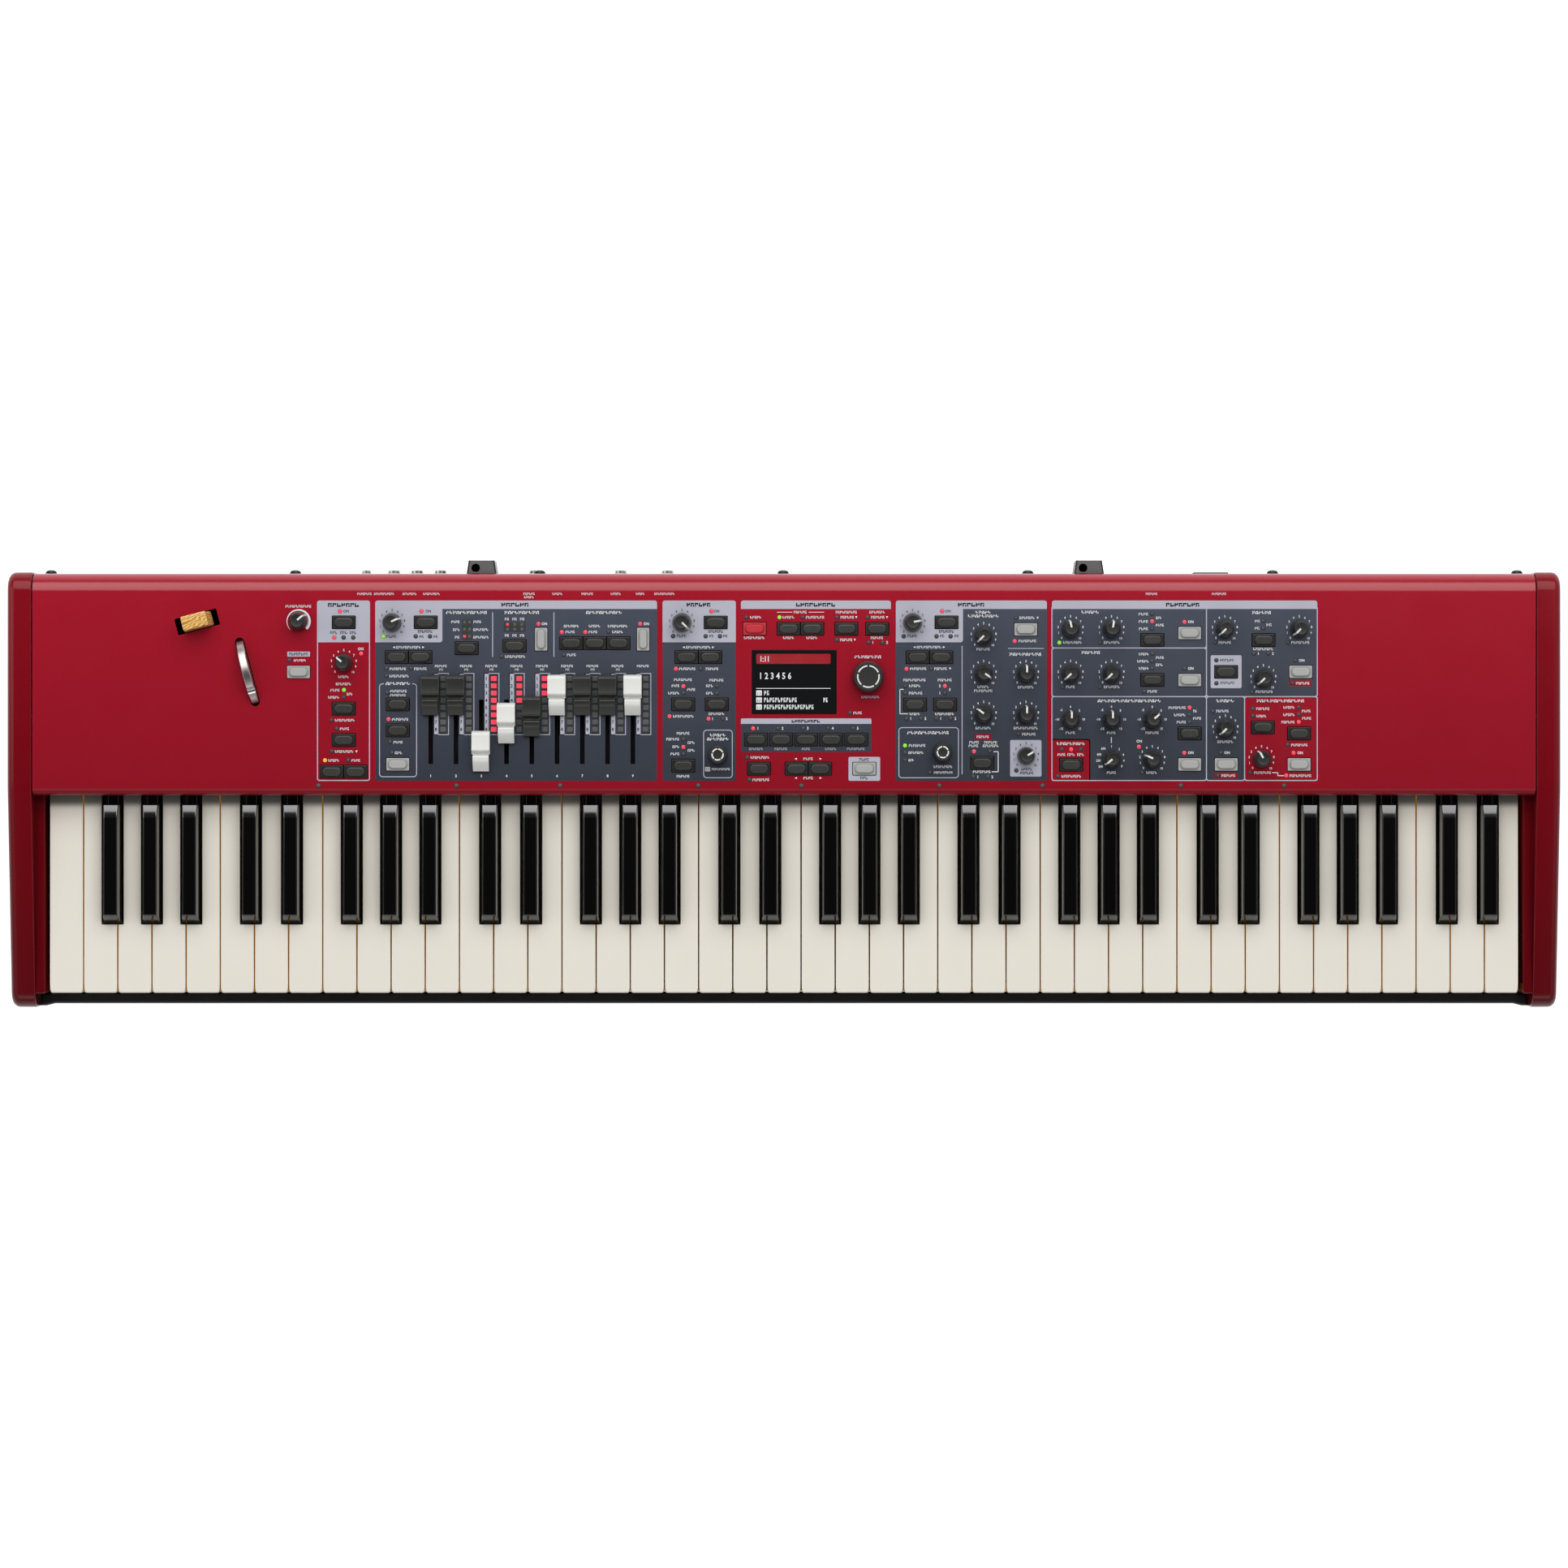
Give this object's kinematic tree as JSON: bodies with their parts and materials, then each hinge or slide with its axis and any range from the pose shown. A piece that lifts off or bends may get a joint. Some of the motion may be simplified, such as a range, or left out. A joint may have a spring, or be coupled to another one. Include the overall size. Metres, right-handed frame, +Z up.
{
  "type": "stage keyboard",
  "caption": "Red stage keyboard with waterfall keys, drawbars, knobs, buttons, a display, a wooden pitch stick and a modulation wheel.",
  "frame": {"origin": "on the floor under the middle of the instrument's bounding box", "axes": "+X to the player's right along the keys, +Y from the key fronts to the rear wall, +Z up"},
  "size_m": [1.068, 0.309, 0.098],
  "materials": {
    "deck_red": "satin",
    "cheek_red": "gloss",
    "black_metal": "matt",
    "steel": "satin",
    "ivory": "satin",
    "ebony": "gloss",
    "black_plastic": "matt",
    "white_plastic": "satin",
    "mat_rubber": "matt",
    "foot_rubber": "matt",
    "circuit_board": "satin",
    "display": "gloss",
    "wood": "oiled",
    "metal_wheel": "satin"
  },
  "bodies": {
    "case": {"top_panel": "deck_red", "rear_panel": "deck_red", "left_end_cheek": "cheek_red", "right_end_cheek": "cheek_red", "bottom_pan": "black_metal", "front_rail": "black_metal", "keybed_chassis": "steel", "controller_bracket": "steel", "left_stand_bracket": "steel", "right_stand_bracket": "steel", "left_control_board": "circuit_board", "right_control_board": "circuit_board", "main_circuit_board": "circuit_board", "display_module": "display", "output_jack_block": "black_plastic", "control_jack_block": "black_plastic", "power_inlet": "black_plastic", "front_left_foot": "foot_rubber", "front_right_foot": "foot_rubber", "rear_left_foot": "foot_rubber", "rear_right_foot": "foot_rubber"},
    "power_switch": {"power_switch": "black_plastic"},
    "pitch_stick": {"pitch_stick": "wood"},
    "mod_wheel": {"mod_wheel": "metal_wheel"},
    "master_level_knob": {"master_level_knob": "black_plastic"},
    "organ_level_knob": {"organ_level_knob": "black_plastic"},
    "piano_level_knob": {"piano_level_knob": "black_plastic"},
    "synth_level_knob": {"synth_level_knob": "black_plastic"},
    "program_dial": {"program_dial": "black_plastic"},
    "rotary_buttons": {"rotary_buttons": "mat_rubber"},
    "organ_buttons": {"organ_buttons": "mat_rubber"},
    "piano_buttons": {"piano_buttons": "mat_rubber"},
    "program_buttons": {"program_buttons": "mat_rubber"},
    "synth_buttons": {"synth_buttons": "mat_rubber"},
    "effects_buttons": {"effects_buttons": "mat_rubber"},
    "drawbar_1": {"drawbar_1": "black_plastic"},
    "drawbar_2": {"drawbar_2": "black_plastic"},
    "drawbar_3": {"drawbar_3": "white_plastic"},
    "drawbar_4": {"drawbar_4": "white_plastic"},
    "drawbar_5": {"drawbar_5": "black_plastic"},
    "drawbar_6": {"drawbar_6": "white_plastic"},
    "drawbar_7": {"drawbar_7": "black_plastic"},
    "drawbar_8": {"drawbar_8": "black_plastic"},
    "drawbar_9": {"drawbar_9": "white_plastic"},
    "bass_white_keys": {"bass_white_keys": "ivory"},
    "bass_black_keys": {"bass_black_keys": "ebony"},
    "treble_white_keys": {"treble_white_keys": "ivory"},
    "treble_black_keys": {"treble_black_keys": "ebony"},
    "key_c": {"key_c": "ivory"},
    "key_c_sharp": {"key_c_sharp": "ebony"},
    "key_d": {"key_d": "ivory"},
    "key_d_sharp": {"key_d_sharp": "ebony"},
    "key_e": {"key_e": "ivory"},
    "key_f": {"key_f": "ivory"},
    "key_f_sharp": {"key_f_sharp": "ebony"},
    "key_g": {"key_g": "ivory"},
    "key_g_sharp": {"key_g_sharp": "ebony"},
    "key_a": {"key_a": "ivory"},
    "key_a_sharp": {"key_a_sharp": "ebony"},
    "key_b": {"key_b": "ivory"}
  },
  "joints": [
    {"name": "power_rock", "type": "hinge", "parent": "case", "child": "power_switch", "pos_m": [0.2962, 0.14325, 0.034], "axis": [-1, 0, 0], "range_deg": [0, 20]},
    {"name": "pitch_bend", "type": "hinge", "parent": "case", "child": "pitch_stick", "pos_m": [-0.403, 0.1114, 0.055], "axis": [-0.2538, 0.9673, 0], "range_deg": [-6, 6], "stiffness_Nm_per_rad": 0.08},
    {"name": "mod_turn", "type": "hinge", "parent": "case", "child": "mod_wheel", "pos_m": [-0.3685, 0.077, 0.066], "axis": [-0.9673, -0.2538, 0], "range_deg": [0, 60]},
    {"name": "master_level_turn", "type": "hinge", "parent": "case", "child": "master_level_knob", "pos_m": [-0.3333, 0.1118, 0.088], "axis": [0, 0, -1], "range_deg": [-185, 85]},
    {"name": "organ_level_turn", "type": "hinge", "parent": "case", "child": "organ_level_knob", "pos_m": [-0.2691, 0.1108, 0.088], "axis": [0, 0, -1], "range_deg": [-200, 70]},
    {"name": "piano_level_turn", "type": "hinge", "parent": "case", "child": "piano_level_knob", "pos_m": [-0.0701, 0.1108, 0.088], "axis": [0, 0, -1], "range_deg": [-270, 0]},
    {"name": "synth_level_turn", "type": "hinge", "parent": "case", "child": "synth_level_knob", "pos_m": [0.0883, 0.1108, 0.088], "axis": [0, 0, -1], "range_deg": [-215, 55]},
    {"name": "program_turn", "type": "hinge", "parent": "case", "child": "program_dial", "pos_m": [0.0577, 0.0735, 0.088], "axis": [0, 0, -1], "continuous": true},
    {"name": "rotary_buttons_press", "type": "slide", "parent": "case", "child": "rotary_buttons", "axis": [0, 0, -1], "range_m": [0, 0.001], "stiffness_N_per_m": 1200, "springref_m": -0.002},
    {"name": "organ_buttons_press", "type": "slide", "parent": "case", "child": "organ_buttons", "axis": [0, 0, -1], "range_m": [0, 0.001], "stiffness_N_per_m": 1500, "springref_m": -0.002},
    {"name": "piano_buttons_press", "type": "slide", "parent": "case", "child": "piano_buttons", "axis": [0, 0, -1], "range_m": [0, 0.001], "stiffness_N_per_m": 1200, "springref_m": -0.002},
    {"name": "program_buttons_press", "type": "slide", "parent": "case", "child": "program_buttons", "axis": [0, 0, -1], "range_m": [0, 0.001], "stiffness_N_per_m": 1500, "springref_m": -0.002},
    {"name": "synth_buttons_press", "type": "slide", "parent": "case", "child": "synth_buttons", "axis": [0, 0, -1], "range_m": [0, 0.001], "stiffness_N_per_m": 1500, "springref_m": -0.002},
    {"name": "effects_buttons_press", "type": "slide", "parent": "case", "child": "effects_buttons", "axis": [0, 0, -1], "range_m": [0, 0.001], "stiffness_N_per_m": 2000, "springref_m": -0.002},
    {"name": "drawbar_1_pull", "type": "slide", "parent": "case", "child": "drawbar_1", "axis": [0, -1, 0], "range_m": [0, 0.0385]},
    {"name": "drawbar_2_pull", "type": "slide", "parent": "case", "child": "drawbar_2", "axis": [0, -1, 0], "range_m": [0, 0.0385]},
    {"name": "drawbar_3_pull", "type": "slide", "parent": "case", "child": "drawbar_3", "axis": [0, -1, 0], "range_m": [-0.0385, 0]},
    {"name": "drawbar_4_pull", "type": "slide", "parent": "case", "child": "drawbar_4", "axis": [0, -1, 0], "range_m": [-0.01925, 0.01925]},
    {"name": "drawbar_5_pull", "type": "slide", "parent": "case", "child": "drawbar_5", "axis": [0, -1, 0], "range_m": [-0.0144, 0.024]},
    {"name": "drawbar_6_pull", "type": "slide", "parent": "case", "child": "drawbar_6", "axis": [0, -1, 0], "range_m": [0, 0.0385]},
    {"name": "drawbar_7_pull", "type": "slide", "parent": "case", "child": "drawbar_7", "axis": [0, -1, 0], "range_m": [0, 0.0385]},
    {"name": "drawbar_8_pull", "type": "slide", "parent": "case", "child": "drawbar_8", "axis": [0, -1, 0], "range_m": [0, 0.0385]},
    {"name": "drawbar_9_pull", "type": "slide", "parent": "case", "child": "drawbar_9", "axis": [0, -1, 0], "range_m": [0, 0.0385]},
    {"name": "bass_white_press", "type": "hinge", "parent": "case", "child": "bass_white_keys", "pos_m": [-0.2832, 0.036, 0.05], "axis": [1, 0, 0], "range_deg": [0, 3.18], "stiffness_Nm_per_rad": 11.4, "springref_deg": -13.75},
    {"name": "bass_black_press", "type": "hinge", "parent": "case", "child": "bass_black_keys", "pos_m": [-0.2832, 0.036, 0.05], "axis": [1, 0, 0], "range_deg": [0, 3.18], "stiffness_Nm_per_rad": 7.8, "springref_deg": -13.75},
    {"name": "treble_white_press", "type": "hinge", "parent": "case", "child": "treble_white_keys", "pos_m": [0.3068, 0.036, 0.05], "axis": [1, 0, 0], "range_deg": [0, 3.18], "stiffness_Nm_per_rad": 10.2, "springref_deg": -13.75},
    {"name": "treble_black_press", "type": "hinge", "parent": "case", "child": "treble_black_keys", "pos_m": [0.3068, 0.036, 0.05], "axis": [1, 0, 0], "range_deg": [0, 3.18], "stiffness_Nm_per_rad": 7.2, "springref_deg": -13.75},
    {"name": "key_c_press", "type": "hinge", "parent": "case", "child": "key_c", "pos_m": [-0.0472, 0.036, 0.05], "axis": [1, 0, 0], "range_deg": [0, 3.18], "stiffness_Nm_per_rad": 0.6, "springref_deg": -13.75},
    {"name": "key_c_sharp_press", "type": "hinge", "parent": "case", "child": "key_c_sharp", "pos_m": [-0.0354, 0.036, 0.05], "axis": [1, 0, 0], "range_deg": [0, 3.18], "stiffness_Nm_per_rad": 0.6, "springref_deg": -13.75},
    {"name": "key_d_press", "type": "hinge", "parent": "case", "child": "key_d", "pos_m": [-0.0236, 0.036, 0.05], "axis": [1, 0, 0], "range_deg": [0, 3.18], "stiffness_Nm_per_rad": 0.6, "springref_deg": -13.75},
    {"name": "key_d_sharp_press", "type": "hinge", "parent": "case", "child": "key_d_sharp", "pos_m": [-0.0118, 0.036, 0.05], "axis": [1, 0, 0], "range_deg": [0, 3.18], "stiffness_Nm_per_rad": 0.6, "springref_deg": -13.75},
    {"name": "key_e_press", "type": "hinge", "parent": "case", "child": "key_e", "pos_m": [0, 0.036, 0.05], "axis": [1, 0, 0], "range_deg": [0, 3.18], "stiffness_Nm_per_rad": 0.6, "springref_deg": -13.75},
    {"name": "key_f_press", "type": "hinge", "parent": "case", "child": "key_f", "pos_m": [0.0236, 0.036, 0.05], "axis": [1, 0, 0], "range_deg": [0, 3.18], "stiffness_Nm_per_rad": 0.6, "springref_deg": -13.75},
    {"name": "key_f_sharp_press", "type": "hinge", "parent": "case", "child": "key_f_sharp", "pos_m": [0.0354, 0.036, 0.05], "axis": [1, 0, 0], "range_deg": [0, 3.18], "stiffness_Nm_per_rad": 0.6, "springref_deg": -13.75},
    {"name": "key_g_press", "type": "hinge", "parent": "case", "child": "key_g", "pos_m": [0.0472, 0.036, 0.05], "axis": [1, 0, 0], "range_deg": [0, 3.18], "stiffness_Nm_per_rad": 0.6, "springref_deg": -13.75},
    {"name": "key_g_sharp_press", "type": "hinge", "parent": "case", "child": "key_g_sharp", "pos_m": [0.059, 0.036, 0.05], "axis": [1, 0, 0], "range_deg": [0, 3.18], "stiffness_Nm_per_rad": 0.6, "springref_deg": -13.75},
    {"name": "key_a_press", "type": "hinge", "parent": "case", "child": "key_a", "pos_m": [0.0708, 0.036, 0.05], "axis": [1, 0, 0], "range_deg": [0, 3.18], "stiffness_Nm_per_rad": 0.6, "springref_deg": -13.75},
    {"name": "key_a_sharp_press", "type": "hinge", "parent": "case", "child": "key_a_sharp", "pos_m": [0.0826, 0.036, 0.05], "axis": [1, 0, 0], "range_deg": [0, 3.18], "stiffness_Nm_per_rad": 0.6, "springref_deg": -13.75},
    {"name": "key_b_press", "type": "hinge", "parent": "case", "child": "key_b", "pos_m": [0.0944, 0.036, 0.05], "axis": [1, 0, 0], "range_deg": [0, 3.18], "stiffness_Nm_per_rad": 0.6, "springref_deg": -13.75}
  ]
}
